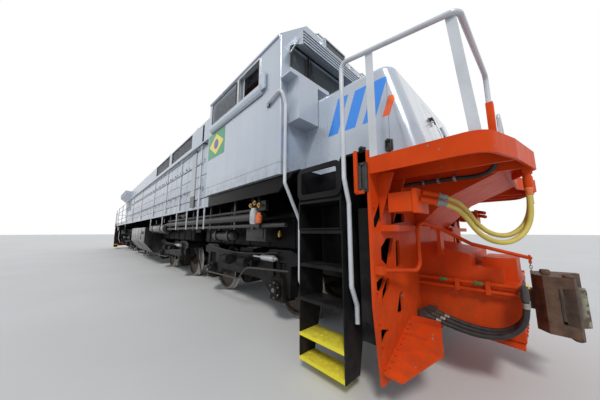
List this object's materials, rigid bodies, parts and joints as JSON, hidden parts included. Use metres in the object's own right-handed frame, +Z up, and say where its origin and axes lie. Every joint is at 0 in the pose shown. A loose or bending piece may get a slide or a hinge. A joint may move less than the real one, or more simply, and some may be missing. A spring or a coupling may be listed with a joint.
{
  "type": "diesel locomotive",
  "caption": "Diesel-electric road locomotive for metre gauge with a full-width cab, long hood, span bolsters, swinging trucks, rolling wheelsets and knuckle couplers.",
  "frame": {"origin": "middle of the footprint at the lowest point of the wheel flanges, 28 mm below rail top", "axes": "+X forward to the nose end, +Y left, +Z up"},
  "size_m": [25.02, 3.12, 4.3499],
  "materials": {
    "wheel_steel": "machined and worn wheel steel, dull brown-grey",
    "black_paint": "glossy black underframe paint",
    "cast_grey": "black painted castings with dust",
    "silver_paint": "silver-grey metallic body paint",
    "orange_paint": "orange end paint",
    "rusty_cast": "rusty brown coupler casting",
    "rail_grey": "light grey gloss handrail paint",
    "dark_grille": "dark grey grille paint",
    "window_glass": "clear safety glass",
    "cab_trim": "brown seats and grey desk",
    "tank_black": "glossy black tank paint",
    "cable_yellow": "yellow cable jacket",
    "hose_black": "black rubber hose",
    "step_paint": "black steps, the two lowest yellow"
  },
  "bodies": {
    "body": {"air_reservoirs": "black_paint", "brake_hose_1": "hose_black", "brake_hose_2": "hose_black", "brake_hose_3": "hose_black", "cab_front_wall": "silver_paint", "cab_ledges": "silver_paint", "cab_rear_wall": "silver_paint", "cab_roof": "silver_paint", "cab_seats_and_desk": "cab_trim", "cab_sides": "silver_paint", "cab_windows": "window_glass", "corner_steps": "step_paint", "cut_levers": "orange_paint", "engine_block": "cast_grey", "front_pilot": "orange_paint", "fuel_tank": "tank_black", "handrails": "rail_grey", "hood_doors": "silver_paint", "hose_fittings": "cast_grey", "jumper_cable_1": "cable_yellow", "jumper_cable_2": "cable_yellow", "long_hood": "silver_paint", "nose": "silver_paint", "radiator_wings": "silver_paint", "rear_pilot": "orange_paint", "roof_gear": "silver_paint", "sill_piping": "cast_grey", "underframe": "black_paint", "walkway_skirts": "silver_paint", "windscreen_shade": "silver_paint"},
    "cab_door_right": {"cab_door_right": "silver_paint"},
    "cab_door_left": {"cab_door_left": "silver_paint"},
    "nose_door": {"nose_door": "silver_paint"},
    "front_coupler": {"front_coupler": "rusty_cast"},
    "rear_coupler": {"rear_coupler": "rusty_cast"},
    "front_knuckle": {"front_knuckle": "rusty_cast"},
    "rear_knuckle": {"rear_knuckle": "rusty_cast"},
    "span_bolster_front": {"span_bolster_front": "black_paint"},
    "span_bolster_rear": {"span_bolster_rear": "black_paint"},
    "radiator_fan": {"radiator_fan": "dark_grille"},
    "truck_1": {"truck_frame_1": "black_paint", "truck_gear_1": "cast_grey", "traction_motors_1": "cast_grey"},
    "truck_2": {"truck_frame_2": "black_paint", "truck_gear_2": "cast_grey", "traction_motors_2": "cast_grey"},
    "truck_3": {"truck_frame_3": "black_paint", "truck_gear_3": "cast_grey", "traction_motors_3": "cast_grey"},
    "truck_4": {"truck_frame_4": "black_paint", "truck_gear_4": "cast_grey", "traction_motors_4": "cast_grey"},
    "wheelset_1": {"wheelset_1": "wheel_steel"},
    "wheelset_2": {"wheelset_2": "wheel_steel"},
    "wheelset_3": {"wheelset_3": "wheel_steel"},
    "wheelset_4": {"wheelset_4": "wheel_steel"},
    "wheelset_5": {"wheelset_5": "wheel_steel"},
    "wheelset_6": {"wheelset_6": "wheel_steel"},
    "wheelset_7": {"wheelset_7": "wheel_steel"},
    "wheelset_8": {"wheelset_8": "wheel_steel"}
  },
  "joints": [
    {"name": "front_bolster_swing", "type": "hinge", "parent": "body", "child": "span_bolster_front", "pos_m": [6.14, 0, 1.49], "axis": [0, 0, 1], "range_deg": [-4, 4]},
    {"name": "rear_bolster_swing", "type": "hinge", "parent": "body", "child": "span_bolster_rear", "pos_m": [-6.14, 0, 1.49], "axis": [0, 0, 1], "range_deg": [-4, 4]},
    {"name": "truck_1_swing", "type": "hinge", "parent": "span_bolster_front", "child": "truck_1", "pos_m": [8.44, 0, 1.1], "axis": [0, 0, 1], "range_deg": [-3, 3]},
    {"name": "truck_2_swing", "type": "hinge", "parent": "span_bolster_front", "child": "truck_2", "pos_m": [3.84, 0, 1.1], "axis": [0, 0, 1], "range_deg": [-3, 3]},
    {"name": "truck_3_swing", "type": "hinge", "parent": "span_bolster_rear", "child": "truck_3", "pos_m": [-3.84, 0, 1.1], "axis": [0, 0, 1], "range_deg": [-3, 3]},
    {"name": "truck_4_swing", "type": "hinge", "parent": "span_bolster_rear", "child": "truck_4", "pos_m": [-8.44, 0, 1.1], "axis": [0, 0, 1], "range_deg": [-3, 3]},
    {"name": "axle_1_roll", "type": "hinge", "parent": "truck_1", "child": "wheelset_1", "pos_m": [9.64, 0, 0.485], "axis": [0, 1, 0], "continuous": true},
    {"name": "axle_2_roll", "type": "hinge", "parent": "truck_1", "child": "wheelset_2", "pos_m": [7.24, 0, 0.485], "axis": [0, 1, 0], "continuous": true},
    {"name": "axle_3_roll", "type": "hinge", "parent": "truck_2", "child": "wheelset_3", "pos_m": [5.04, 0, 0.485], "axis": [0, 1, 0], "continuous": true},
    {"name": "axle_4_roll", "type": "hinge", "parent": "truck_2", "child": "wheelset_4", "pos_m": [2.64, 0, 0.485], "axis": [0, 1, 0], "continuous": true},
    {"name": "axle_5_roll", "type": "hinge", "parent": "truck_3", "child": "wheelset_5", "pos_m": [-2.64, 0, 0.485], "axis": [0, 1, 0], "continuous": true},
    {"name": "axle_6_roll", "type": "hinge", "parent": "truck_3", "child": "wheelset_6", "pos_m": [-5.04, 0, 0.485], "axis": [0, 1, 0], "continuous": true},
    {"name": "axle_7_roll", "type": "hinge", "parent": "truck_4", "child": "wheelset_7", "pos_m": [-7.24, 0, 0.485], "axis": [0, 1, 0], "continuous": true},
    {"name": "axle_8_roll", "type": "hinge", "parent": "truck_4", "child": "wheelset_8", "pos_m": [-9.64, 0, 0.485], "axis": [0, 1, 0], "continuous": true},
    {"name": "cab_door_right_swing", "type": "hinge", "parent": "body", "child": "cab_door_right", "pos_m": [8.126, -1.397, 2.8], "axis": [0, 0, 1], "range_deg": [0, 90]},
    {"name": "cab_door_left_swing", "type": "hinge", "parent": "body", "child": "cab_door_left", "pos_m": [8.126, 1.397, 2.8], "axis": [0, 0, -1], "range_deg": [0, 90]},
    {"name": "nose_door_swing", "type": "hinge", "parent": "body", "child": "nose_door", "pos_m": [11.62796, 0.327, 2.40795], "axis": [-0.2558, 0, 0.9667], "range_deg": [0, 95]},
    {"name": "front_coupler_swing", "type": "hinge", "parent": "body", "child": "front_coupler", "pos_m": [11.8, 0, 0.708], "axis": [0, 0, 1], "range_deg": [-7, 7]},
    {"name": "rear_coupler_swing", "type": "hinge", "parent": "body", "child": "rear_coupler", "pos_m": [-11.8, 0, 0.708], "axis": [0, 0, 1], "range_deg": [-7, 7]},
    {"name": "front_knuckle_open", "type": "hinge", "parent": "front_coupler", "child": "front_knuckle", "pos_m": [12.428, -0.15, 0.708], "axis": [0, 0, -1], "range_deg": [0, 45]},
    {"name": "rear_knuckle_open", "type": "hinge", "parent": "rear_coupler", "child": "rear_knuckle", "pos_m": [-12.428, 0.15, 0.708], "axis": [0, 0, -1], "range_deg": [0, 45]},
    {"name": "radiator_fan_spin", "type": "hinge", "parent": "body", "child": "radiator_fan", "pos_m": [-8.9, 0, 4.3], "axis": [0, 0, 1], "continuous": true}
  ]
}
